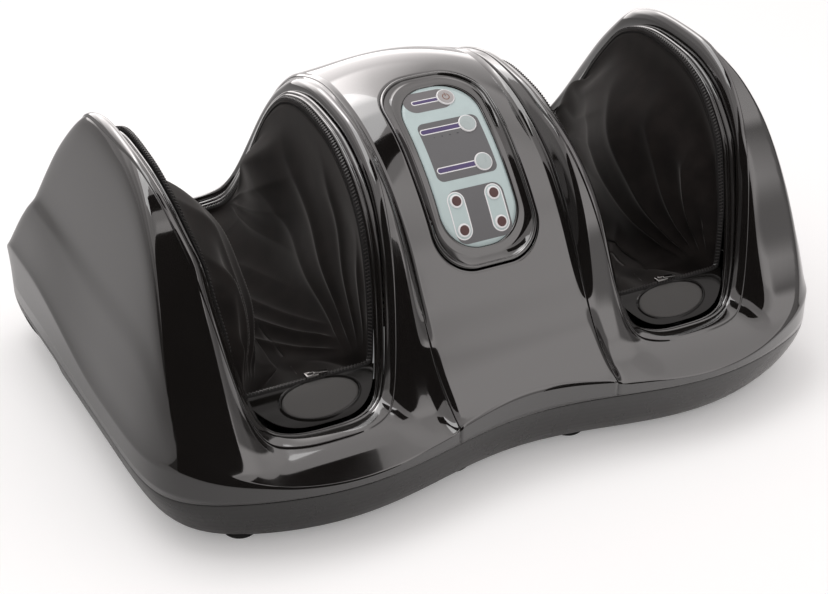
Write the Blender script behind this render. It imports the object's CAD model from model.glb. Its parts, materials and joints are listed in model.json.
import json
from math import atan2, cos, pi, radians, sin

import bmesh
import bpy
import numpy as np
from mathutils import Matrix, Vector


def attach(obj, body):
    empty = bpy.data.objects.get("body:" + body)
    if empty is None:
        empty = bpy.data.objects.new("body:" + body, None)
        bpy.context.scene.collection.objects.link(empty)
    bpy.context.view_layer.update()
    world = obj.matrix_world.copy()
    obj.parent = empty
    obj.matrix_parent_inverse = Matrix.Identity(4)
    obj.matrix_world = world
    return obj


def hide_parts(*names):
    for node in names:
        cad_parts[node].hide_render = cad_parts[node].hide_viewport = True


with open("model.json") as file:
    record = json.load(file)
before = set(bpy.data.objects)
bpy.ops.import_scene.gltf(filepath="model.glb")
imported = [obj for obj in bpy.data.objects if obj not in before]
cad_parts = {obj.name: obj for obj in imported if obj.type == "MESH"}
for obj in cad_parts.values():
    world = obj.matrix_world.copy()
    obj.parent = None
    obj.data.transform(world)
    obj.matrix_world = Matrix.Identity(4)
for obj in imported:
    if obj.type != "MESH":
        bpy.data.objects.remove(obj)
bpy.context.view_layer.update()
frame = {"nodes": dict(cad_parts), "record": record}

# The studio: a wide white table, one broad soft light overhead, and a surround that the gloss picks up,
# bright behind the object and darker in front of it. To the camera the surround is plain white.
camera_data = bpy.data.cameras.new("camera")
camera_data.lens = 71.74
camera_data.sensor_width = 36.0
camera_data.clip_end = 50.0


def linked(name, data):
    """A new object in the scene."""
    thing = bpy.data.objects.new(name, data)
    bpy.context.scene.collection.objects.link(thing)
    return thing


def aimed(thing, place, target):
    """Puts a camera or lamp at a place and turns it to a target."""
    thing.location = place
    thing.rotation_euler = (Vector(target) - thing.location).to_track_quat("-Z", "Y").to_euler()


camera = linked("camera", camera_data)
aimed(camera, (-0.5495, -1.0209, 0.6912), (0.117, 0.217, -0.083))
bpy.context.scene.camera = camera
bpy.context.scene.view_settings.view_transform = "Standard"


def fill(node, values):
    """Sets inputs of a node, by name or number, to plain values or feeds them from other sockets."""
    for which, value in values.items():
        if isinstance(value, bpy.types.NodeSocket):
            node.id_data.links.new(value, node.inputs[which])
        else:
            node.inputs[which].default_value = value
    return node


def added(tree, kind, values=()):
    """A new shader node of a kind, with these inputs filled."""
    return fill(tree.nodes.new("ShaderNode" + kind), dict(values))


def maths(tree, what, first, second=0.0):
    """One Math node."""
    node = added(tree, "Math")
    node.operation = what
    return fill(node, {0: first, 1: second}).outputs[0]


def ramp(tree, value, low, high, start=0.0, end=1.0):
    """Smooth step of a value from start at low to end at high."""
    node = added(tree, "MapRange")
    node.interpolation_type = "SMOOTHSTEP"
    fill(node, {"Value": value, "From Min": low, "From Max": high, "To Min": start, "To Max": end})
    return node.outputs["Result"]


world = bpy.data.worlds.new("studio")
world.use_nodes = True
bpy.context.scene.world = world
sky = world.node_tree
sky.nodes.clear()
direction = added(sky, "TexCoord").outputs["Generated"]
to_right, to_back, up = added(sky, "SeparateXYZ", {0: direction}).outputs
turn_share = maths(sky, "ADD", maths(sky, "DIVIDE", maths(sky, "ARCTAN2", to_right, to_back), 2 * pi), 0.5)
brightest = 12.0
level_scale = 0.66


def panorama(stops):
    """Brightness round the horizon at one height, from turns in degrees (0 behind the object, 90 right)."""
    node = added(sky, "ValToRGB")
    stripe = node.color_ramp
    while len(stripe.elements) < len(stops):
        stripe.elements.new(0.5)
    for element, (turn, level) in zip(stripe.elements, stops):
        element.position = (turn + 180) / 360
        element.color = (level / brightest,) * 3 + (1,)
    return fill(node, {0: turn_share}).outputs["Color"]


def blended(low, high, share):
    """Mixes two brightnesses."""
    step = maths(sky, "MULTIPLY", maths(sky, "SUBTRACT", high, low), share)
    return maths(sky, "ADD", low, step)


near_floor = panorama((
    (-180, 0.2), (-160, 0.1), (-120, 0.1), (-85, 0.1), (-78, 0.3), (-60, 0.5), (-40, 0.6), (-26, 0.8),
    (-19, 2.0), (0, 4.0), (20, 3.6), (38, 3.0), (56, 2.2), (62, 0.1), (102, 0.12), (108, 0.5), (125, 0.5),
    (140, 0.75), (154, 0.8), (166, 0.6), (180, 0.2)))
low_walls = panorama((
    (-180, 0.9), (-160, 1.0), (-120, 0.9), (-100, 0.5), (-80, 0.7), (-60, 0.8), (-44, 0.9), (-32, 1.3),
    (-20, 4.0), (-5, 5.8), (8, 3.8), (22, 3.0), (40, 1.6), (56, 0.8), (66, 0.1), (98, 0.3), (106, 0.6),
    (120, 0.6), (137, 0.7), (143, 1.9), (156, 1.9), (166, 1.5), (180, 0.9)))
high_walls = panorama((
    (-180, 1.2), (-140, 1.1), (-100, 1.0), (-60, 1.4), (-40, 1.6), (-24, 3.5), (-10, 8.5), (5, 7.5),
    (20, 4.0), (40, 1.5), (60, 1.5), (100, 1.5), (120, 1.8), (140, 1.9), (156, 1.3), (180, 1.2)))
ceiling = panorama(((-180, 1.0), (-30, 1.2), (0, 3.0), (40, 1.4), (110, 1.4), (180, 1.0)))
zenith = 1.2 / brightest
studio_light = near_floor
for higher, start, end in ((low_walls, 8, 15), (high_walls, 29, 36), (ceiling, 59, 63), (zenith, 70, 76)):
    studio_light = blended(studio_light, higher, ramp(sky, up, sin(radians(start)), sin(radians(end))))
glossy_light = maths(sky, "MULTIPLY", studio_light, brightest * level_scale)
soft_light = 0.78
path = added(sky, "LightPath")
studio_light = blended(soft_light, glossy_light, path.outputs["Is Glossy Ray"])
warm_white, plain_white = (1.0, 0.955, 0.945, 1.0), (1.0, 1.0, 1.0, 1.0)
backgrounds = []
for tint, strength in ((warm_white, studio_light), (plain_white, 1.0)):
    background = added(sky, "Background", {"Color": tint, "Strength": strength})
    backgrounds.append(background.outputs[0])
seen = added(sky, "MixShader", {0: path.outputs["Is Camera Ray"], 1: backgrounds[0], 2: backgrounds[1]})
added(sky, "OutputWorld", {0: seen.outputs[0]})

softbox = bpy.data.lights.new("softbox", "AREA")
softbox.shape = "RECTANGLE"
softbox.size = 1.5
softbox.size_y = 1.1
softbox.energy = 9.0
aimed(linked("softbox", softbox), (-0.35, 0.35, 1.75), (0, 0, 0.1))

# Table top: wide white acrylic, with a slight glow of its own to the camera. In the gloss its left part is
# darker, as a table edge is.
table_half = 40.0
glow_strength = 0.22
table_white = 0.87


def mesh_of(form, name):
    """The mesh that a bmesh describes."""
    mesh = bpy.data.meshes.new(name)
    form.to_mesh(mesh)
    form.free()
    return mesh


def new_material(name):
    """A material with nodes: itself, its node tree and its Principled node."""
    material = bpy.data.materials.new(name)
    material.use_nodes = True
    return material, material.node_tree, material.node_tree.nodes["Principled BSDF"]


table = bmesh.new()
bmesh.ops.create_grid(table, x_segments=1, y_segments=1, size=table_half)
table_top = linked("table_top", mesh_of(table, "table_top"))
acrylic, acrylic_tree, acrylic_body = new_material("white_acrylic")
acrylic_spot = added(acrylic_tree, "TexCoord").outputs["Object"]
acrylic_place = added(acrylic_tree, "SeparateXYZ", {0: acrylic_spot})
acrylic_path = added(acrylic_tree, "LightPath")
seen_directly = maths(acrylic_tree, "MAXIMUM", acrylic_path.outputs["Is Camera Ray"],
                      acrylic_path.outputs["Is Transmission Ray"])
glow = added(acrylic_tree, "Emission",
             {"Strength": maths(acrylic_tree, "MULTIPLY", seen_directly, glow_strength)})
dim_left = ramp(acrylic_tree, acrylic_place.outputs["X"], -0.40, 0.15, 0.48, 0.0)
dim = maths(acrylic_tree, "MULTIPLY", dim_left, acrylic_path.outputs["Is Glossy Ray"])
whiteness = maths(acrylic_tree, "SUBTRACT", table_white, dim)
acrylic_white = added(acrylic_tree, "CombineColor", dict.fromkeys(range(3), whiteness))
fill(acrylic_body, {"Roughness": 0.22, "Specular IOR Level": 0.0, "Base Color": acrylic_white.outputs[0]})
lit = added(acrylic_tree, "AddShader", {0: acrylic_body.outputs[0], 1: glow.outputs[0]})
fill(acrylic_tree.nodes["Material Output"], {0: lit.outputs[0]})
table_top.data.materials.append(acrylic)

# Two black flags of felt, one in front on the left and one overhead, keep the light off parts of the gloss,
# as the dark room does in a studio. They are seen only in the gloss.
felt, _, felt_body = new_material("black_felt")
fill(felt_body, {"Base Color": (0.004, 0.004, 0.004, 1), "Specular IOR Level": 0.0})
flags = (("front_flag", (-0.85, -0.92, 0.80), pi / 2, 2.4, 1.6),
         ("overhead_flag", (0.05, -0.25, 1.50), 0.0, 0.80, 0.40))
for name, middle, lean, wide, high in flags:
    stand = Matrix.Translation(middle) @ Matrix.Rotation(lean, 4, "X") @ Matrix.Diagonal((wide, high, 1, 1))
    flag = bmesh.new()
    bmesh.ops.create_grid(flag, x_segments=1, y_segments=1, size=0.5, matrix=stand)
    black_flag = linked(name, mesh_of(flag, name))
    black_flag.data.materials.append(felt)
    black_flag.visible_camera = False
    black_flag.visible_diffuse = False
    black_flag.visible_shadow = False

# The moulded surface of the housing. One height function gives the hump of the console, the strips
# beside it, the low saddles in the foot wells, the two wings and the flank; sizes are in millimetres.
millimetre = 0.001
half_width = 276.0
half_depth = 200.0
rear_depth = 203.0
front_depth_middle = 183.0
front_lobe = 21.0
front_lobe_reach = 292.0
full_height = 250.0
parting_height = 46.0
side_bulge = 3.0
front_corner_power = 8
rear_corner_power = 14
hump_height = 9.0
hump_half_width = 60.0
strip_from, strip_to = 60.0, 76.0
well_from, well_to = 84.0, 112.0
wing_from, wing_to = 188.0, 228.0
wing_from_lead, wing_to_lead = 20.0, 12.0
flank_rise = 30.0
shoulder_blend = 26.0
curve_softness = 6.0
flank_softness = 0.012
console_shares = (
    (-1.075, 0.20), (-0.95, 0.235), (-0.855, 0.30), (-0.785, 0.352), (-0.735, 0.414), (-0.665, 0.49),
    (-0.585, 0.604), (-0.50, 0.704), (-0.415, 0.78), (-0.28, 0.864), (-0.115, 0.928), (0.10, 0.962),
    (0.35, 0.925), (0.55, 0.83), (0.70, 0.70), (0.80, 0.56), (0.90, 0.40), (0.98, 0.27), (1.06, 0.12))
arch_shares = (
    (-1.075, 0.20), (-0.875, 0.248), (-0.80, 0.312), (-0.74, 0.40), (-0.695, 0.50), (-0.65, 0.608),
    (-0.575, 0.724), (-0.475, 0.82), (-0.35, 0.888), (-0.185, 0.942), (0.05, 0.968), (0.225, 0.945),
    (0.40, 0.868), (0.55, 0.75), (0.675, 0.61), (0.80, 0.45), (0.90, 0.345), (0.98, 0.26), (1.06, 0.12))
wing_shares = (
    (-1.075, 0.20), (-0.925, 0.248), (-0.825, 0.328), (-0.75, 0.44), (-0.695, 0.56), (-0.625, 0.688),
    (-0.525, 0.816), (-0.375, 0.92), (-0.185, 0.976), (0.05, 0.996), (0.225, 0.965), (0.43, 0.832),
    (0.575, 0.688), (0.70, 0.544), (0.80, 0.43), (0.90, 0.335), (0.98, 0.26), (1.06, 0.12))
saddle_shares = (
    (-1.075, 0.19), (-1.02, 0.205), (-0.925, 0.244), (-0.84, 0.264), (-0.80, 0.272), (-0.635, 0.368),
    (-0.40, 0.388), (0.0, 0.392), (0.50, 0.408), (0.82, 0.424), (0.90, 0.35), (0.98, 0.26), (1.06, 0.12))
side_shares = (
    (-1.06, 0.04), (-1.0, 0.10), (-0.985, 0.19), (-0.965, 0.32), (-0.935, 0.488), (-0.905, 0.66),
    (-0.875, 0.80), (-0.83, 0.94), (-0.60, 1.30), (0.0, 1.68))


def profile(shares, reach, rise, soften):
    """Smooth curve through the shares of a side view, as a function of the place along it."""
    spots, heights = np.array(shares).T
    spots, heights = spots * reach, heights * rise
    steps = np.diff(spots)
    secants = np.diff(heights) / steps
    slopes = np.r_[secants[0], np.zeros(len(secants) - 1), secants[-1]]
    product = secants[:-1] * secants[1:]
    mean = 2 * product / np.where(product > 0, secants[:-1] + secants[1:], 1)
    slopes[1:-1] = np.where(product > 0, mean, 0)
    steps_per_width, reach_of_window = 6, 18
    step = soften / steps_per_width
    places = np.arange(spots[0] - 4 * soften, spots[-1] + 4 * soften, step)
    k = np.clip(np.searchsorted(spots, places) - 1, 0, len(secants) - 1)
    u = (np.clip(places, spots[0], spots[-1]) - spots[k]) / steps[k]
    curve = (1 + 2 * u) * (1 - u) ** 2 * heights[k] + u * (1 - u) ** 2 * steps[k] * slopes[k]
    curve += u * u * (3 - 2 * u) * heights[k + 1] + u * u * (u - 1) * steps[k] * slopes[k + 1]
    curve += np.minimum(places - spots[0], 0) * slopes[0] + np.maximum(places - spots[-1], 0) * slopes[-1]
    window = np.exp(-0.5 * (np.arange(-reach_of_window, reach_of_window + 1) * step / soften) ** 2)
    smooth = np.convolve(np.pad(curve, reach_of_window, mode="edge"), window / window.sum(), mode="valid")
    return lambda place: np.interp(place, places, smooth)


console_line, arch_line, wing_line, saddle_line = (
    profile(shares, half_depth, full_height, curve_softness)
    for shares in (console_shares, arch_shares, wing_shares, saddle_shares))
side_line = profile(side_shares, 1.0, full_height, flank_softness)


def ease(start, end, value):
    """Smooth hand-over from 0 at start to 1 at end."""
    t = np.clip((value - start) / (end - start), 0, 1)
    return t * t * t * (t * (6 * t - 15) + 10)


def front_depth(x):
    """Distance of the front edge from the middle, with a soft lobe in front of each foot well."""
    share = np.minimum(np.abs(x), front_lobe_reach) / front_lobe_reach
    return front_depth_middle + front_lobe * np.sin(pi * share) ** 2


def plan_corner(x, y):
    """Power of the plan outline's rounding and its reach to the front or the back."""
    return np.where(y < 0, front_corner_power, rear_corner_power), np.where(y < 0, front_depth(x), rear_depth)


def outline_value(x, y):
    """1 on the plan outline of the housing, less inside it."""
    power, reach = plan_corner(x, y)
    return (np.abs(x) / (half_width + side_bulge)) ** power + (np.abs(y) / reach) ** power


def skin(x, y):
    """Height of the moulded top surface."""
    across = np.abs(x)
    middle = ease(-127.0, -95.0, y) * (1 - ease(140.0, 165.0, y))
    console = console_line(y)
    hump = hump_height * np.maximum(0, 1 - (x / hump_half_width) ** 2)
    console += hump * ease(-100.0, -45.0, y) * (1 - ease(45.0, 100.0, y))
    top = console + (arch_line(y) - console) * ease(strip_from, strip_to, across)
    top += (saddle_line(y) - top) * ease(well_from, well_to, across)
    wing_share = ease(wing_from - wing_from_lead * middle, wing_to - wing_to_lead * middle, across)
    top += (wing_line(y) - top) * wing_share
    power, reach = plan_corner(x, y)
    edge = ((across / half_width) ** power + (np.abs(y) / reach) ** power) ** (1 / power)
    side = side_line(-edge) + flank_rise * ease(-60.0, 120.0, y) * ease(0.93, 1.0, edge)
    rise = top - parting_height
    blend = np.maximum(shoulder_blend - np.abs(rise - side), 0) / shoulder_blend
    return parting_height + np.minimum(rise, side) - blend * blend * shoulder_blend / 4


def woven_grid(name, columns, rows, shape):
    """A grid of quads whose vertices move to shape(column, row), in millimetres, with its seam closed."""
    merge_distance = 2e-7
    grid = bmesh.new()
    bmesh.ops.create_grid(grid, x_segments=columns, y_segments=rows, size=0.5, calc_uvs=True)
    mesh = mesh_of(grid, name)
    places = np.empty(3 * len(mesh.vertices), dtype=np.float32)
    mesh.vertices.foreach_get("co", places)
    places = places.reshape(-1, 3).astype(float) + 0.5
    points = shape(np.round(places[:, 0] * columns).astype(int), np.round(places[:, 1] * rows).astype(int))
    mesh.vertices.foreach_set("co", (points * millimetre).astype(np.float32).ravel())
    grid = bmesh.new()
    grid.from_mesh(mesh)
    bmesh.ops.remove_doubles(grid, verts=grid.verts, dist=merge_distance)
    grid.to_mesh(mesh)
    grid.free()
    mesh.update()
    return mesh


def finished(name, mesh, material, body, nodes=(), wall=0.0, facing=None):
    """Turns a mesh into a finished piece: faces turned to its outer side, smooth, with wall and material."""
    shell = bmesh.new()
    shell.from_mesh(mesh)
    if facing is not None:
        total = Vector((0, 0, 0))
        for face in shell.faces:
            total += face.normal * face.calc_area()
        if total.dot(Vector(facing)) < 0:
            bmesh.ops.reverse_faces(shell, faces=shell.faces)
    shell.to_mesh(mesh)
    shell.free()
    mesh.polygons.foreach_set("use_smooth", [True] * len(mesh.polygons))
    mesh.materials.append(material)
    piece = linked(name, mesh)
    if wall:
        solid = piece.modifiers.new("wall", "SOLIDIFY")
        solid.thickness = wall * millimetre
        solid.offset = -1.0
        solid.use_even_offset = False
    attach(piece, body)
    if nodes:
        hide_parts(*nodes)
    return piece


def mirrored(mesh, name):
    """The same mesh for the left side, with its faces turned the right way round again."""
    other = bmesh.new()
    other.from_mesh(mesh)
    bmesh.ops.scale(other, vec=(-1, 1, 1), verts=other.verts)
    bmesh.ops.reverse_faces(other, faces=other.faces)
    return mesh_of(other, name)


def noise(tree, scale, detail):
    """Noise on the piece's own Object coordinates."""
    spot = added(tree, "TexCoord").outputs["Object"]
    node = added(tree, "TexNoise", {"Scale": scale, "Detail": detail, "Vector": spot})
    return node.outputs["Fac"]


def relief(tree, body, height, depth):
    """Bump of a depth in metres from a height pattern."""
    bump = added(tree, "Bump", {"Strength": 1.0, "Distance": depth, "Height": height})
    fill(body, {"Normal": bump.outputs["Normal"]})


def two_tones(tree, body, low, high, share):
    """Base colour between two tones."""
    tone = added(tree, "Mix")
    tone.data_type = "RGBA"
    fill(tone, {"A": (*low, 1), "B": (*high, 1), "Factor": share})
    fill(body, {"Base Color": tone.outputs["Result"]})


def surface(name, colour, roughness, grain=900.0, grain_depth=0.002, vary=0.15, coat=0.0, metallic=0.0,
            specular=0.5):
    """A moulded, rolled or cast finish: fine grain as bump, and slow changes of tone and gloss."""
    material, tree, body = new_material(name)
    relief(tree, body, noise(tree, grain, 3.0), grain_depth * millimetre)
    slow = noise(tree, grain / 14, 4.0)
    gloss = ramp(tree, slow, 0.35, 0.65, roughness * (1 - vary), roughness * (1 + vary))
    two_tones(tree, body, [c * 0.9 for c in colour], [min(1, c * 1.1) for c in colour], slow)
    fill(body, {"Roughness": gloss, "Metallic": metallic, "Specular IOR Level": specular,
                "Coat Weight": coat, "Coat Roughness": 0.03})
    return material


def both_sides(word, columns, rows, shape, material, node, wall=0.0):
    """Builds and finishes a piece of the right well, and its mirrored twin on the left."""
    mesh = woven_grid("right_" + word, columns, rows, shape)
    twin = mirrored(mesh, "left_" + word)
    return [finished(f"{side}_{word}", half, material, "base", [f"{side}_{node}"], wall, (0, 0, 1))
            for side, half in (("right", mesh), ("left", twin))]


gloss_black = surface("gloss_black_abs", (0.0085, 0.0075, 0.0070), 0.085, 420.0, 0.0022, 0.25, 1.0,
                      specular=0.9)
fill(gloss_black.node_tree.nodes["Principled BSDF"], {"Coat IOR": 1.75})

# Right and left cover: glossy black moulded shells with the wing, the lobe in front of the well and the
# strip beside the console. Each is open over its well and ends there in a raised, rounded lip.
well_centre = 148.5
well_middle = 5.0
well_half_width = 63.5
well_outer_room = 11.0
well_half_length = 161.0
well_front_power = 3.1
well_rear_power = 5.0
split_x = 66.15
lip_width = 11.0
lip_height = 1.3
lip_rows = (0, 0.12, 0.35, 0.7, 1.2, 1.9, 2.8, 3.9, 5.1, 6.4, 7.6, 8.8, 9.7, 10.2, 10.5, 10.75, 11.0, 11.4,
            12.2, 14.0)
edge_rows = (1.2, 0.85, 0.55, 0.3, 0.12, 0.0)
drop_shares = (0.06, 0.2, 0.45, 0.75, 1.0)
wall_rows = 2
seam_depth = 6.0
rim_gap = 6.0
toe_drop, leg_drop, wing_drop = 1.0, 6.0, 6.0
crease_step = 1.8
cover_wall = 1.6


def ring_reach(turn, half_x, half_y, power):
    """Distance from the middle of a rounded loop to its edge, in a direction."""
    edge = (np.abs(np.cos(turn)) / half_x) ** power + (np.abs(np.sin(turn)) / half_y) ** power
    return edge ** (-1 / power)


def well_reach(turn, grow):
    """Distance from the middle of a well to the loop of its rim, moved out by a distance."""
    power = np.where(np.sin(turn) < 0, well_front_power, well_rear_power)
    half = well_half_width + grow + well_outer_room * (np.cos(turn) > 0)
    return ring_reach(turn, half, well_half_length + grow, power)


def from_well(turn, away, middle=well_middle):
    """Places at a distance from the middle of a well, or from another place on its centre line."""
    return well_centre + away * np.cos(turn), middle + away * np.sin(turn)


def rim_drop(x, y):
    """Depth of the rim below the moulded surface: shallow at the toes, deep beside the leg and the wing."""
    return toe_drop + (leg_drop + wing_drop * ease(150.0, 200.0, x)) * ease(-150.0, -85.0, y)


def changeover(near, far, holds):
    """Where a test that holds at near and fails at far changes over, by halving."""
    for _ in range(40):
        half = (near + far) / 2
        held = holds(half)
        near, far = np.where(held, half, near), np.where(held, far, half)
    return near


def reach_outline(start_x, start_y, turn):
    """Distance along a direction to the plan outline of the housing."""
    return changeover(np.zeros_like(turn), np.full_like(turn, 600.0), lambda away: outline_value(
        start_x + away * np.cos(turn), start_y + away * np.sin(turn)) < 1)


def fan(corners, columns):
    """Directions round a full turn, shared out so that each corner is met exactly."""
    corners = sorted(c % (2 * pi) for c in corners)
    turns = []
    for start, end in zip(corners, corners[1:] + [corners[0] + 2 * pi]):
        count = max(8, round(columns * (end - start) / (2 * pi)))
        turns += list(start + (end - start) * np.arange(count) / count)
    return np.array(turns + [corners[0] + 2 * pi])


def shell_rows(inner, outer, lips, body_rows):
    """Distances of every row of a cover from its middle: lip, body, rolled edge."""
    room = np.minimum(1.0, 0.8 * (outer - inner) / lips[-1])
    lip = [inner + d * room for d in lips]
    last = outer - edge_rows[0] * np.minimum(1.0, 0.1 * (outer - inner) / edge_rows[0])
    shares = 1 - (1 - np.arange(1, body_rows + 1) / body_rows) ** 1.7
    body = [lip[-1] + (last - lip[-1]) * share for share in shares]
    edge = [outer - (outer - last) * d / edge_rows[0] for d in edge_rows[1:]]
    return np.array(lip + body + edge)


cover_turns = fan([atan2(y - well_middle, split_x - well_centre)
                   for y in (-front_depth(split_x), rear_depth)], 420)
cover_inner = well_reach(cover_turns, rim_gap)
to_outline = reach_outline(well_centre, well_middle, cover_turns)
to_split = np.where(np.cos(cover_turns) < -1e-6,
                    (well_centre - split_x) / np.maximum(-np.cos(cover_turns), 1e-6), 1e6)
at_split = to_split < to_outline
cover_outer = np.minimum(to_split, to_outline)
cover_rows = shell_rows(cover_inner, cover_outer, lip_rows, 60)


def skirted(z, to_edge, row, rings, at_seam, wall_step):
    """Adds a cover's rounded edge, the wall of its opening, and its skirt to a seam or the parting line."""
    edge_radius = edge_rows[0]
    z = z - (edge_radius - np.sqrt(np.maximum(edge_radius ** 2 - (edge_radius - to_edge) ** 2, 0)))
    z = z - np.clip(wall_rows - row, 0, wall_rows) * wall_step
    below = np.clip(row - wall_rows - rings + 1, 0, len(drop_shares))
    share = np.array((0.0,) + drop_shares)[below]
    foot = np.where(at_seam, z - seam_depth, parting_height)
    return np.where(below > 0, z + (np.minimum(foot, z) - z) * share, z)


def cover_shape(column, row):
    """Right cover, from the inside of its lip over the housing and down the flank."""
    ring = np.clip(row - wall_rows, 0, len(cover_rows) - 1)
    away = cover_rows[ring, column]
    x, y = from_well(cover_turns[column], away)
    z = skin(x, y)
    from_lip = away - cover_inner[column]
    room = (cover_rows[len(lip_rows) - 1, column] - cover_inner[column]) / lip_rows[-1]
    across_lip = from_lip / (lip_width * room)
    raised = lip_height * np.minimum(room, 1) * (1 - ease(0.93, 1.0, across_lip))
    roll = np.clip(1 - across_lip / 0.8, 0, 1)
    z += raised - (rim_drop(x, y) + raised) * (1 - np.sqrt(1 - roll * roll))
    to_edge = np.minimum(cover_outer[column] - away, edge_rows[0])
    z = skirted(z, to_edge, row, len(cover_rows), at_split[column], 4.0)
    x = x + crease_step * ease(261.0, 266.0, x) * ease(60.0, 110.0, z)
    return np.stack([x, y, z], axis=1)


both_sides("cover_shell", len(cover_turns) - 1, len(cover_rows) + wall_rows + len(drop_shares) - 1,
           cover_shape, gloss_black, "cover", cover_wall)

# Console cover: the same glossy plastic, a hump between the wells with an opening for the control panel.
# The panel is bent about a cross axis, so places on it are given along it, across it and above it.
panel_slope = radians(44.3)
panel_bend = 200.0
panel_y, panel_z = -73.2, 201.8
bend_y = panel_y + panel_bend * sin(panel_slope)
bend_z = panel_z - panel_bend * cos(panel_slope)
bezel_half = (43.0, 79.0)
bezel_radius = 30.0
label_half = (31.0, 65.0)
label_radius = 28.0


def on_panel(u, v, h):
    """Point at a place on the bent panel and a height above it."""
    lean = panel_slope - v / panel_bend
    radius = panel_bend + h
    return np.stack([u + 0 * v, bend_y - np.sin(lean) * radius, bend_z + np.cos(lean) * radius], axis=-1)


def rounded_loop(half_u, half_v, radius):
    """Rounded rectangle as a closed loop with the same columns for every size."""
    corners = []
    for quarter, (side_u, side_v) in enumerate(((1, 1), (-1, 1), (-1, -1), (1, -1))):
        turn = quarter * pi / 2 + np.linspace(0, pi / 2, 25)
        corners.append(np.stack([side_u * (half_u - radius) + radius * np.cos(turn),
                                 side_v * (half_v - radius) + radius * np.sin(turn)]))
    loop = []
    for corner, after, run in zip(corners, corners[1:] + corners[:1], (12, 24, 12, 24)):
        end, start = corner[:, -1:], after[:, :1]
        loop += [corner, end + (start - end) * np.arange(1, run) / run]
    return np.concatenate(loop + [corners[0][:, :1]], axis=1)


def panel_height(u, v):
    """Height above the bent panel at which the moulded surface lies."""

    def under(height):
        x, y, z = on_panel(u, v, height).T
        return z < skin(x, y)

    return changeover(np.full_like(u, -20.0), np.full_like(u, 30.0), under)


console_middle = -78.0
console_half = 66.0
seam_gap = 0.15
opening_room = 0.3
opening_radius = 1.6
opening_u, opening_v = rounded_loop(bezel_half[0] + opening_room, bezel_half[1] + opening_room,
                                    bezel_radius + opening_room)
opening = on_panel(opening_u, opening_v, panel_height(opening_u, opening_v))
opening_turn = np.unwrap(np.arctan2(opening[:, 1] - console_middle, opening[:, 0]))
opening_reach = np.hypot(opening[:, 0], opening[:, 1] - console_middle)
order = np.argsort(opening_turn[:-1] % (2 * pi))
console_edge = console_half - seam_gap
console_corners = [atan2(y - console_middle, x) for x in (-console_edge, console_edge)
                   for y in (-float(front_depth(console_edge)), rear_depth)]
console_turns = fan(console_corners, 400)
console_inner = np.interp(console_turns % (2 * pi), (opening_turn[:-1] % (2 * pi))[order],
                          opening_reach[:-1][order], period=2 * pi)
console_out = reach_outline(0.0, console_middle, console_turns)
console_side = console_edge / np.maximum(np.abs(np.cos(console_turns)), 1e-6)
console_at_side = console_side < console_out
console_outer = np.minimum(console_side, console_out)
opening_rows = (0, 0.2, 0.5, 1.0, 1.6, 2.4, 3.4, 4.6, 6.0)
console_rows = shell_rows(console_inner, console_outer, opening_rows, 84)


def console_shape(column, row):
    """Console cover, from the wall of the panel opening out to the seams and the front edge."""
    ring = np.clip(row - wall_rows, 0, len(console_rows) - 1)
    away = console_rows[ring, column]
    x = away * np.cos(console_turns[column])
    y = console_middle + away * np.sin(console_turns[column])
    z = skin(x, y)
    from_opening = away - console_inner[column]
    roll = np.clip(opening_radius - from_opening, 0, opening_radius)
    z -= opening_radius - np.sqrt(np.maximum(opening_radius ** 2 - roll ** 2, 0))
    to_edge = np.minimum(console_outer[column] - away, edge_rows[0])
    z = skirted(z, to_edge, row, len(console_rows), console_at_side[column], 2.5)
    return np.stack([x, y, z], axis=1)


console_mesh = woven_grid("console_shell", len(console_turns) - 1,
                          len(console_rows) + wall_rows + len(drop_shares) - 1, console_shape)
finished("console_shell", console_mesh, gloss_black, "base", ["console_cover"], cover_wall,
         (0, 0, 1))

# Control bezel: a black tray let into the console. Its wall leans in from the console surface to a flat
# ring round the label.
lip_steps = (
    (0.0, -5.0), (0.0, -1.0), (0.01, -0.2), (0.03, 0.25), (0.07, 0.45), (0.12, 0.3), (0.15, -0.2),
    (0.17, -1.0), (0.20, -2.2))
tray_steps = (
    (0.50, 1.3), (0.54, 0.9), (0.59, 0.75), (0.70, 0.85), (0.88, 0.85), (0.95, 0.7), (0.98, 0.3), (1.0, -0.6),
    (1.0, -2.0))
label_room = 0.2
bezel_wall = 0.8
bezel_outer = np.array((*bezel_half, bezel_radius))
bezel_inner = np.array((*label_half, label_radius)) + label_room
bezel_loops = []
for k, (share, height) in enumerate(lip_steps + tray_steps):
    loop_u, loop_v = rounded_loop(*(bezel_outer + (bezel_inner - bezel_outer) * share))
    surface_level = panel_height(loop_u, loop_v)
    level = surface_level + height if k < len(lip_steps) else np.minimum(height, surface_level - 0.3)
    bezel_loops.append(on_panel(loop_u, loop_v, level))
bezel_loops = np.array(bezel_loops)
bezel_mesh = woven_grid("control_bezel_tray", bezel_loops.shape[1] - 1, len(bezel_loops) - 1,
                        lambda column, row: bezel_loops[row, column])
finished("control_bezel_tray", bezel_mesh, gloss_black, "base", ["control_bezel"],
         bezel_wall, (0, -1, 1))

# Panel label: a printed film glued to the bezel, with a pale face, grey boxes, violet bars and white
# outlines. It has no words. Each mark lies 0.06 mm above the one below it.
film_pale = surface("film_pale", (0.50, 0.60, 0.60), 0.34)
print_grey = surface("print_grey", (0.135, 0.135, 0.14), 0.36)
print_pill = surface("print_pill", (0.165, 0.16, 0.165), 0.36)
print_white = surface("print_white", (0.84, 0.84, 0.85), 0.36)
print_violet = surface("print_violet", (0.085, 0.060, 0.165), 0.34)
print_dark = surface("print_dark", (0.035, 0.035, 0.04), 0.4)


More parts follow.
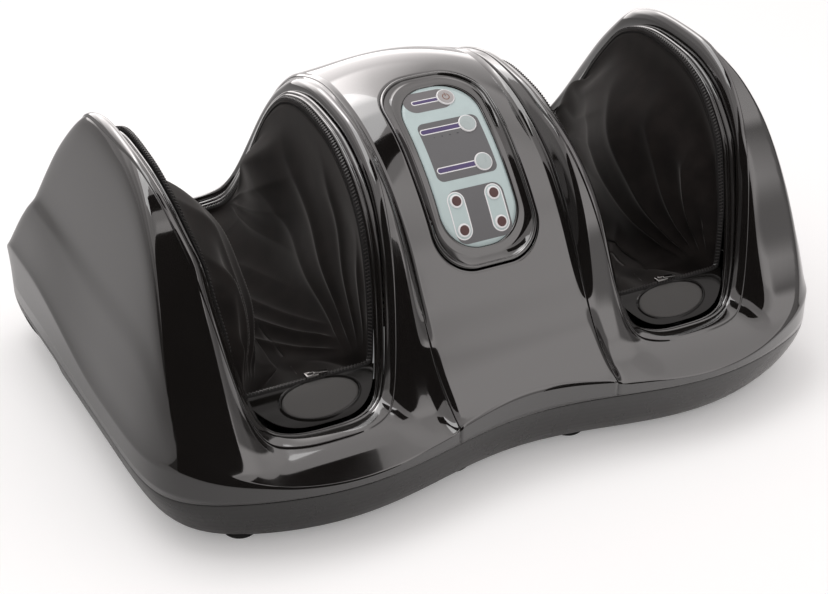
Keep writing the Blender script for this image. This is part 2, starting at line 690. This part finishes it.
def panel_patch(name, u, v, half_u, half_v, height, material, radius=None, rise=0.0, skirt=0.0, hole=0.0,
                body="base", slot="label_film", nodes=()):
    """A flat or domed mark on the bent panel, as rings from its middle or its hole to its rounded edge."""
    if radius is None:
        radius = min(half_u, half_v) - 0.01
    rings = max(3, int(max(half_v, half_u) / 5) + 2) if rise == 0 else 12
    edge_u, edge_v = rounded_loop(half_u, half_v, radius)
    steps = rings + (2 if skirt else 0)

    def shape(column, row):
        share = hole + (1 - hole) * np.minimum(row / rings, 1.0)
        level = height + rise * (1 - share ** 6) - skirt * np.maximum(row - rings, 0) / 2
        return on_panel(u + edge_u[column] * share, v + edge_v[column] * share, level)

    mesh = woven_grid(name, len(edge_u) - 1, steps, shape)
    return finished(name, mesh, material, body, nodes, 0.0, (0, -1, 1))


power_row, auto_row, manual_row = 52.8, 27.0, -4.9
upper_column = 16.0
lower_column = 15.5
outline = 0.8
layer = 0.06
panel_patch("label_film", 0, 0, *label_half, 0.0, film_pale, label_radius, skirt=0.5, nodes=["panel_label"])
panel_patch("power_pill", -5.5, 53.0, 19.5, 9.0, layer, print_pill, 9.0)
panel_patch("programme_box", 1.0, 10.3, 25.0, 23.8, layer, print_grey, 5.5)
panel_patch("lower_box", 1.0, -41.2, 23.0, 20.0, layer, print_grey, 8.0)
bars = (("power", -18.0, 6.0, power_row, 1.3), ("auto", -22.5, 12.0, auto_row, 1.7),
        ("manual", -21.5, 12.0, manual_row, 1.7))
for name, start, end, row, half in bars:
    middle, length = (start + end) / 2, (end - start) / 2
    panel_patch(name + "_bar_outline", middle, row, length + outline, half + outline, 2 * layer, print_white)
    panel_patch(name + "_bar", middle, row, length, half, 3 * layer, print_violet)
pill_row, pill_half = -40.05, (6.2, 17.0)
for side, word in ((-1, "speed"), (1, "direction")):
    column = side * lower_column
    panel_patch(word + "_pill_outline", column, pill_row, pill_half[0] + 0.9, pill_half[1] + 0.9, 2 * layer,
                print_white)
    panel_patch(word + "_pill", column, pill_row, *pill_half, 3 * layer, film_pale)
for k in range(4):
    panel_patch(f"programme_mark_{k + 1}", -14.0 + 6.5 * k, 21.2, 0.35 + 0.18 * k, 0.35, 2 * layer,
                print_dark)

# Push buttons: seven sprung keys with a low dome, a white ring and a coloured face. They stand out far
# enough to stay above the prints when pressed. The power key has the usual broken ring and stroke.
key_pale = surface("key_pale", (0.44, 0.50, 0.50), 0.30, 700.0)
key_power = surface("key_power", (0.40, 0.38, 0.38), 0.30, 700.0)
key_red = surface("key_red", (0.095, 0.042, 0.040), 0.30, 700.0, 0.002, 0.2)
key_icon = surface("key_icon", (0.20, 0.085, 0.05), 0.35, 700.0, 0.002, 0.1)
power_column = 9.6
up_row, down_row = -29.2, -50.9
large_key, small_key = (7.0, 0.9, "button_grey"), (5.0, 1.3, "button_dark")
keys = (("power", power_column, power_row, large_key, key_power),
        ("auto", upper_column, auto_row, large_key, key_pale),
        ("manual", upper_column, manual_row, large_key, key_pale),
        ("speed_up", -lower_column, up_row, small_key, key_red),
        ("speed_down", -lower_column, down_row, small_key, key_red),
        ("forward", lower_column, up_row, small_key, key_red),
        ("reverse", lower_column, down_row, small_key, key_red))
for word, u, v, (radius, ring, slot), finish in keys:
    body = word + "_button"
    panel_patch(word + "_key", u, v, radius, radius, 0.95, print_white, rise=0.3, skirt=3.6, body=body,
                slot=slot, nodes=[body])
    face = radius - ring
    panel_patch(word + "_key_face", u, v, face, face, 1.29, finish, rise=0.10, body=body, slot=slot)
power_marks = (
    ("ring", 52.5, 2.9, 2.9, 1.44, key_icon, None, 0.76), ("gap", 55.4, 0.9, 1.0, 1.48, key_power, 0.3, 0.0),
    ("stroke", 54.6, 0.35, 1.6, 1.52, key_icon, None, 0.0))
for word, v, half_u, half_v, height, ink, radius, hole in power_marks:
    panel_patch("power_key_" + word, power_column, v, half_u, half_v, height, ink, radius, hole=hole,
                body="power_button", slot="button_grey")

# Rims: glossy black moulded rings, snapped in round each well. Each has a rounded bead outside, a groove
# and a narrow inner bead, and a collar that goes down behind the liner.
rim_steps = (
    (5.6, -7.0), (5.6, -1.6), (5.45, -0.9), (5.1, -0.2), (4.6, 0.3), (4.0, 0.55), (3.3, 0.6), (2.7, 0.35),
    (2.3, -0.2), (2.1, -0.9), (1.9, -1.5), (1.6, -1.8), (1.35, -1.5), (1.1, -1.0), (0.7, -0.65), (0.2, -0.5),
    (-0.3, -0.6), (-0.7, -0.95), (-0.95, -1.6), (-1.0, -2.6), (-1.0, -9.0))
rim_turns = fan([k * pi / 2 for k in range(4)], 440)
rim_wall = 0.8


def rim_level(turn):
    """Height of the rim's seat round a well."""
    x, y = from_well(turn, well_reach(turn, rim_gap + 1.0))
    return skin(x, y) - rim_drop(x, y)


def rim_shape(column, row):
    """Rim, from behind the cover's lip over its two beads and down the collar."""
    grow, rise = np.array(rim_steps)[row].T
    turn = rim_turns[column]
    x, y = from_well(turn, well_reach(turn, grow))
    return np.stack([x, y, rim_level(turn) + rise], axis=1)


both_sides("rim_ring", len(rim_turns) - 1, len(rim_steps) - 1, rim_shape, gloss_black, "rim",
           rim_wall)

# Toe plates: the sloping front of each well, moulded in jet black and clipped in under the rim, with a
# raised lip round the seat of the oval pad.
oval_y = -139.8
oval_half = (28.8, 11.0)
plate_drop = 3.0
plate_back = -127.3
plate_room = 1.3
pad_room = 0.3
seat_steps = ((0.0, -2.4), (0.05, -0.6), (0.25, 0.35), (0.6, 0.75), (1.0, 0.8), (1.4, 0.6), (1.8, 0.1),
              (2.2, 0.0))
plate_turns = fan([atan2(plate_back - oval_y, side * 57.0) for side in (-1, 1)], 240)
oval_edge = ring_reach(plate_turns, oval_half[0] + pad_room, oval_half[1] + pad_room, 2)
to_back = np.where(np.sin(plate_turns) > 1e-6,
                   (plate_back - oval_y) / np.maximum(np.sin(plate_turns), 1e-6), 1e6)
plate_half_x = well_half_width - plate_room + well_outer_room * (np.cos(plate_turns) > 0)
plate_rows = 18


def inside_rim(away):
    """Whether the places at a distance from the oval's middle lie inside the rim."""
    ring_x = np.abs(away * np.cos(plate_turns)) / plate_half_x
    ring_y = np.abs(oval_y + away * np.sin(plate_turns) - well_middle) / (well_half_length - plate_room)
    return ring_x ** well_front_power + ring_y ** well_front_power < 1


to_rim = changeover(np.zeros_like(plate_turns), np.full_like(plate_turns, 200.0), inside_rim)
plate_outer = np.minimum(to_rim, to_back)


def plate_shape(column, row):
    """Toe plate, from the seat of the pad out to the rim and the zipper."""
    seats = len(seat_steps)
    step, rise = np.array(seat_steps)[np.minimum(row, seats - 1)].T
    share = np.clip((row - seats + 1) / plate_rows, 0, 1)
    room = np.minimum(1.0, (plate_outer[column] - oval_edge[column]) / 2.6)
    start = oval_edge[column] + step * room
    away = start + (plate_outer[column] - start) * share
    x, y = from_well(plate_turns[column], away, oval_y)
    return np.stack([x, y, saddle_line(y) - plate_drop + rise], axis=1)


jet_black = surface("jet_black_abs", (0.006, 0.0055, 0.005), 0.12, 420.0, 0.002, 0.25, specular=0.32)
both_sides("toe_shield", len(plate_turns) - 1, len(seat_steps) + plate_rows - 1, plate_shape, jet_black,
           "toe_plate", 0.6)

# Oval pads: matte grey inserts of soft plastic with a fine leather-like grain, glued into the seats of the
# toe plates.
oval_grey = surface("oval_grey_grain", (0.070, 0.068, 0.066), 0.62, 1600.0, 0.05, 0.1, specular=0.35)
pad_turns = fan([k * pi / 2 for k in range(4)], 128)
pad_rings = 14


def pad_shape(column, row):
    """Oval pad, from its middle to its edge and down into the seat."""
    share = np.minimum(row / pad_rings, 1.0)
    away = share * ring_reach(pad_turns[column], *oval_half, 2)
    x, y = from_well(pad_turns[column], away, oval_y)
    crown = 0.5 * (1 - share ** 2.5) - 1.6 * np.maximum(row - pad_rings, 0)
    return np.stack([x, y, saddle_line(y) - plate_drop - 0.1 + crown], axis=1)


both_sides("oval_insert", len(pad_turns) - 1, pad_rings + 1, pad_shape, oval_grey, "oval_pad")

# Zippers: a woven tape with two rows of moulded teeth, held round each well just inside the rim. It holds
# the liner. In front it crosses the toe plate, and at the corners it climbs to the high edges of the well.
zip_front = -127.0
zip_drop = 2.6
zip_lift = 3.7
zip_inset = 0.8
teeth_line = -2.6
tooth_pitch = 1.3
tooth_stagger = 0.45
tooth_size = (0.0007, 0.0019, 0.0009)
zip_tape = surface("zip_tape_weave", (0.016, 0.015, 0.015), 0.85, 1500.0, 0.12, 0.1, specular=0.3)
zip_teeth = surface("zip_teeth_nylon", (0.035, 0.033, 0.032), 0.32, 900.0, 0.01, 0.2, specular=0.6)


def zip_line(turn, grow):
    """Points of the zipper's path, moved in or out from the rim."""
    outer_share = ease(0.0, 0.6, np.cos(turn))
    corner_power = 40.0
    along = well_reach(turn, grow) - zip_inset * outer_share
    across = (well_middle - zip_front + grow - teeth_line) / np.maximum(-np.sin(turn), 1e-3)
    away = (along ** -corner_power + across ** -corner_power) ** (-1 / corner_power)
    level = saddle_line(zip_front) - plate_drop + 0.8
    high = rim_level(turn) - zip_drop + zip_lift * outer_share
    z = high + (level - high) * ease(0.93, 1.03, along / across)
    return np.stack([*from_well(turn, away), z], axis=-1)


fine_turns = np.linspace(0, 2 * pi, 6001)
fine_line = zip_line(fine_turns, teeth_line)
run_length = np.r_[0, np.cumsum(np.linalg.norm(np.diff(fine_line, axis=0), axis=1))]
tape_columns = 900
tape_turns = np.interp(np.linspace(0, run_length[-1], tape_columns + 1), run_length, fine_turns)
tape_steps = ((-0.6, -4.0), (-0.9, -0.5), (-1.3, 0.0), (-2.3, 0.15), (-2.9, 0.15), (-3.9, 0.0), (-4.5, -0.6),
              (-4.7, -4.0))


def tape_shape(column, row):
    """Zip tape, from its edge under the rim over the teeth's seat to its inner edge."""
    grow, rise = np.array(tape_steps)[row].T
    points = zip_line(tape_turns[column], grow)
    points[:, 2] += rise
    return points


both_sides("zip_tape", tape_columns, len(tape_steps) - 1, tape_shape, zip_tape, "zipper", 0.4)
teeth = bmesh.new()
tooth_count = 2 * int(run_length[-1] / tooth_pitch / 2)
tooth_turns = np.interp(np.arange(tooth_count) * run_length[-1] / tooth_count, run_length, fine_turns)
stagger = np.where(np.arange(tooth_count) % 2 == 1, -tooth_stagger, tooth_stagger)
tooth_places = zip_line(tooth_turns, teeth_line + stagger) + np.array((0, 0, 0.35))
aheads = zip_line(tooth_turns + 0.002, teeth_line) - zip_line(tooth_turns - 0.002, teeth_line)
outwards = zip_line(tooth_turns, 0.0) - zip_line(tooth_turns, teeth_line)
for tooth_place, ahead, outward in zip(tooth_places, aheads, outwards):
    ahead, outward = Vector(ahead).normalized(), Vector(outward)
    outward = (outward - ahead * outward.dot(ahead)).normalized()
    turned = Matrix((ahead, outward, ahead.cross(outward))).transposed().to_4x4()
    place = Matrix.Translation(Vector(tooth_place) * millimetre) @ turned
    bmesh.ops.create_cube(teeth, size=1.0, matrix=place @ Matrix.Diagonal((*tooth_size, 1.0)))
teeth_mesh = mesh_of(teeth, "right_zip_teeth")
left_teeth_mesh = mirrored(teeth_mesh, "left_zip_teeth")
for name, mesh in (("right_zip_teeth", teeth_mesh), ("left_zip_teeth", left_teeth_mesh)):
    finished(name, mesh, zip_teeth, "base")
    mesh.polygons.foreach_set("use_smooth", [False] * len(mesh.polygons))

# Zip sliders: small die-cast metal bodies with a bridge and a pull tab, clipped over the teeth, which they
# run along.
zip_metal = surface("zip_metal_cast", (0.22, 0.215, 0.21), 0.28, 800.0, 0.02, 0.4, metallic=1.0)
slider_z = float(saddle_line(zip_front)) - plate_drop + 1.2
slider_blocks = (
    ((0, 0, 1.2), 0.0, (9.5, 5.6, 2.2)),
    ((-0.6, 0, 2.9), 0.0, (5.4, 1.5, 1.5)),
    ((6.6, -0.3, 2.3), 0.10, (11.0, 3.4, 0.8)))
for side, word in ((1, "right"), (-1, "left")):
    slider = bmesh.new()
    for middle, lean, size in slider_blocks:
        place = Matrix.Translation(middle) @ Matrix.Rotation(lean, 4, "Y") @ Matrix.Diagonal((*size, 1))
        bmesh.ops.create_cube(slider, size=1.0, matrix=place)
    bmesh.ops.bevel(slider, geom=slider.edges[:], offset=0.42, segments=3, affect="EDGES", profile=0.5,
                    material=-1)
    bmesh.ops.scale(slider, vec=(millimetre,) * 3, verts=slider.verts)
    slider_place = Vector((side * well_centre, zip_front + 1.4, slider_z)) * millimetre
    bmesh.ops.translate(slider, vec=slider_place, verts=slider.verts)
    name, node = word + "_zip_runner", word + "_zip_slider"
    finished(name, mesh_of(slider, name), zip_metal, node, [node])

# Liners: slack pockets of thin matte black cloth, hung from the zipper. The kneading plates push the cloth
# in from both sides, and folds fan out from the front corners and from the back.
liner_bottom = 80.0
liner_columns = 520
liner_rows = 150
liner_wall = 0.5
cloth, cloth_tree, cloth_body = new_material("liner_knit")
cloth_uv = added(cloth_tree, "TexCoord").outputs["UV"]
knit_scale = added(cloth_tree, "Mapping", {"Scale": (900.0, 300.0, 1.0), "Vector": cloth_uv})
knit = added(cloth_tree, "TexWave",
             {"Scale": 0.7, "Distortion": 1.5, "Detail": 1.0, "Vector": knit_scale.outputs["Vector"]})
lint = ramp(cloth_tree, noise(cloth_tree, 60.0, 6.0), 0.3, 0.75)
two_tones(cloth_tree, cloth_body, (0.0052, 0.0040, 0.0036), (0.0100, 0.0078, 0.0070), lint)
relief(cloth_tree, cloth_body, knit.outputs["Fac"], 0.00008)
fill(cloth_body, {"Roughness": 0.9, "Specular IOR Level": 0.12, "Sheen Weight": 0.22,
                  "Sheen Roughness": 0.45, "Sheen Tint": (0.8, 0.78, 0.76, 1)})


def fold_fan(along, aside, folds, fade_in, fade_out):
    """Height of sharp folds that fan out from a corner, each with its angle, width and height."""
    angle, reach = np.arctan2(aside, along), np.hypot(aside, along)
    total = np.zeros_like(angle)
    for at, width, height in folds:
        total += height * np.exp(-np.abs((angle - at) / width) ** 1.35)
    return total * ease(*fade_in, reach) * (1 - ease(*fade_out, reach))


outer_folds = ((0.40, 0.05, 3.0), (0.66, 0.06, 5.0), (0.92, 0.05, 4.0), (1.18, 0.06, 6.0), (1.42, 0.05, 4.0))
inner_folds = ((0.34, 0.05, 2.2), (0.60, 0.05, 3.0), (0.90, 0.045, 2.0), (1.22, 0.045, 1.6))
back_folds = ((0.15, 0.05, 2.6), (0.34, 0.06, 3.4), (0.52, 0.05, 2.2), (0.74, 0.07, 3.0), (1.0, 0.06, 1.8))
floor_folds = ((0.86, 0.05, 3.5), (1.08, 0.06, 6.0), (1.26, 0.05, 4.0), (1.42, 0.05, 5.0))
front_corner, back_corner = (-121.0, 84.0), (150.0, 96.0)
floor_corner = (98.0, -119.0)
liner_spine = (-78.0, 112.0)
liner_turns = np.interp(np.linspace(0, run_length[-1], liner_columns + 1), run_length, fine_turns)


def swell(y, z, height, middle_y, middle_z, spread_y, spread_z):
    """Height of a soft swell of the cloth's wall round a place."""
    return height * np.exp(-((y - middle_y) / spread_y) ** 2 - ((z - middle_z) / spread_z) ** 2)


def liner_shape(column, row):
    """Liner, from the zip tape down the walls to the middle line of its floor."""
    turn = liner_turns[column]
    hang = row / liner_rows
    top = zip_line(turn, -4.6)
    top[:, 2] -= 1.2
    spine_y = np.clip(top[:, 1], *liner_spine)
    down = hang * pi / 2
    shape_power = 2 / 2.9
    inward = 1 - np.cos(down) ** shape_power
    drop = np.sin(down) ** shape_power
    drop = np.where(hang >= 1, 1.0, drop)
    inward = np.where(hang >= 1, 1.0, inward)
    x = top[:, 0] + (well_centre - top[:, 0]) * inward
    y = top[:, 1] + (spine_y - top[:, 1]) * inward
    floor = liner_bottom + 5.0 * ease(40.0, 150.0, y)
    z = top[:, 2] + (floor - top[:, 2]) * drop
    side = np.sign(well_centre - top[:, 0])
    wall_share = ease(0.55, 0.95, np.abs(top[:, 0] - well_centre) / well_half_width)
    held = ease(0.0, 0.13, hang) * (1 - ease(0.80, 1.0, hang))
    outer = top[:, 0] > well_centre
    outer_swell = swell(y, z, 44.0, -18.0, 150.0, 78.0, 62.0) + swell(y, z, 14.0, -66.0, 110.0, 38.0, 32.0)
    inner_swell = swell(y, z, 14.0, 75.0, 160.0, 55.0, 40.0) + swell(y, z, 7.0, -45.0, 125.0, 42.0, 32.0)
    front = y - front_corner[0], z - front_corner[1]
    fan_front = np.where(outer, fold_fan(*front, outer_folds, (6.0, 45.0), (120.0, 230.0)),
                         fold_fan(*front, inner_folds, (6.0, 45.0), (120.0, 230.0)))
    fan_back = fold_fan(back_corner[0] - y, z - back_corner[1], back_folds, (6.0, 40.0), (90.0, 190.0))
    push = held * wall_share * (np.where(outer, outer_swell, inner_swell) + fan_front + fan_back)
    slack = 1.2 * np.sin(0.055 * y + 0.05 * z) * np.sin(0.031 * z - 0.02 * y + 1.3)
    x = x + side * (push + held * slack)
    puff_height, puff_y = np.where(outer, 24.0, 9.0), np.where(outer, 110.0, 100.0)
    puff = puff_height * np.exp(-((y - puff_y) / 22.0) ** 2)
    z = z + puff * wall_share * ease(0.0, 0.06, hang) * (1 - ease(0.08, 0.34, hang))
    floor_fold = fold_fan(x - floor_corner[0], y - floor_corner[1], floor_folds, (10.0, 60.0), (150.0, 215.0))
    z = z + floor_fold * ease(0.45, 0.8, hang) + 2.0 * held * (1 - wall_share) * np.sin(0.16 * x)
    return np.stack([x, y, z], axis=1)


liners = both_sides("liner_cloth", liner_columns, liner_rows, liner_shape, cloth, "liner",
                    liner_wall)

# Base tub: a moulded tray of satin black plastic, screwed to the housing from below, with rounded lower
# edges and a finger recess in each side, matte where the fingers hold.
tub_levels = (
    (45.7, 3.5), (45.7, 0.9), (45.2, 0.3), (44.2, 0.2), (41.0, 0.6), (36.5, 1.6), (32.0, 3.0), (27.0, 5.0),
    (22.0, 7.4), (17.5, 10.0), (13.5, 12.8), (10.0, 15.6), (7.4, 18.2), (5.8, 20.8), (5.1, 23.5), (5.0, 27.0),
    (5.0, 45.0), (5.0, 90.0), (5.0, 160.0))
tub_rows = 76
tub_columns = 560
tub_wall = 1.5
hold_middle, hold_half, hold_round = 99.0, 38.0, 6.0
hold_top, hold_top_round = 37.0, 4.0
hold_deep, hold_from = 21.0, 215.0
level_places = np.arange(len(tub_levels))
tub_satin = surface("tub_satin_black", (0.020, 0.0195, 0.019), 0.26, 600.0, 0.006, 0.2, 0.6, specular=0.55)


def tub_outline(phase, inset):
    """Places on the tub's outline, moved in by an inset."""
    across, back = np.cos(phase), np.sin(phase)
    power = np.where(back < 0, front_corner_power, rear_corner_power)
    reach = (np.abs(across) ** power + np.abs(back) ** power) ** (-1 / power)
    x = (half_width + side_bulge - inset) * reach * across
    deep = np.where(back < 0, front_depth(x), rear_depth)
    return x, (deep - inset) * reach * back


phases = np.linspace(0, 2 * pi, 8001)
outline_x, outline_y = tub_outline(phases, 0.0)
near_hold = (np.abs(outline_x[1:]) > 250) & (outline_y[1:] > 40) & (outline_y[1:] < 160)
run = np.hypot(np.diff(outline_x), np.diff(outline_y)) * np.where(near_hold, 4.0, 1.0)
tub_places = np.r_[0, np.cumsum(run)]
tub_phases = np.interp(np.linspace(0, tub_places[-1], tub_columns + 1), tub_places, phases)


def tub_shape(column, row):
    """Tub, from its top edge down the side, with the recess of the hand hold, and across its floor."""
    at = row / tub_rows * (len(tub_levels) - 1)
    heights, insets = np.array(tub_levels).T
    z, inset = np.interp(at, level_places, heights), np.interp(at, level_places, insets)
    x, y = tub_outline(tub_phases[column], inset)
    along = np.clip((np.abs(y - hold_middle) - hold_half) / hold_round, 0, 1)
    down = np.clip((z - hold_top) / hold_top_round, 0, 1)
    corner = np.clip(1 - np.hypot(along, down), 0, 1)
    hold = corner * corner * (3 - 2 * corner)
    deep = hold_deep * hold * (np.abs(x) > hold_from)
    return np.stack([x - np.sign(x) * deep, y, z], axis=1)


tub_mesh = woven_grid("tub_tray", tub_columns, tub_rows, tub_shape)
finished("tub_tray", tub_mesh, tub_satin, "base", ["base_tub"], tub_wall, (0, 0, -1))
grip_matt = surface("grip_matt_black", (0.004, 0.004, 0.004), 0.85, 600.0, 0.02, 0.1, specular=0.1)
tub_mesh.materials.append(grip_matt)
for polygon in tub_mesh.polygons:
    place = polygon.center / millimetre
    beside_hold = abs(place.y - hold_middle) < hold_half + hold_round and place.z < hold_top + hold_top_round
    if beside_hold and hold_from < abs(place.x) < 266.0:
        polygon.material_index = 1

# The rest keeps its modelled shape and takes a finish: rubber feet, steel screws and shaft, the moulded
# drive pieces, the motors and their brackets, the boards and the inlet.
finishes = {
    "foot_rubber": surface("foot_rubber", (0.018, 0.018, 0.018), 0.75, 900.0, 0.05, 0.1, specular=0.3),
    "screw_steel": surface("screw_steel_zinc", (0.55, 0.55, 0.56), 0.32, 900.0, 0.01, 0.3, metallic=1.0),
    "inlet_black": surface("inlet_plastic", (0.012, 0.012, 0.012), 0.45, 800.0, 0.01, 0.1),
    "board_green": surface("board_resist", (0.012, 0.080, 0.030), 0.35, 500.0, 0.01, 0.2),
    "shaft_steel": surface("shaft_steel_ground", (0.60, 0.60, 0.60), 0.22, 700.0, 0.004, 0.3, metallic=1.0),
    "gear_acetal": surface("acetal_white", (0.78, 0.77, 0.72), 0.40, 500.0, 0.01, 0.15),
    "motor_steel": surface("motor_can", (0.50, 0.50, 0.49), 0.30, 600.0, 0.006, 0.3, metallic=1.0),
    "bracket_steel": surface("bracket_steel", (0.45, 0.46, 0.47), 0.38, 500.0, 0.01, 0.3, metallic=1.0),
    "bush_bronze": surface("bush_bronze", (0.50, 0.30, 0.13), 0.35, 500.0, 0.01, 0.3, metallic=1.0),
    "inner_plastic": surface("inner_abs_grey", (0.16, 0.165, 0.17), 0.5, 400.0, 0.02, 0.15),
    "weight_brass": surface("weight_brass", (0.62, 0.44, 0.16), 0.30, 500.0, 0.01, 0.3, metallic=1.0)}
for subpart in frame["record"]["subparts"]:
    node = frame["nodes"][subpart["node"]]
    finish = finishes.get(subpart["material_slot"], gloss_black)
    if not node.data.materials:
        node.data.materials.append(finish)
    for k in range(len(node.data.materials)):
        node.data.materials[k] = finish
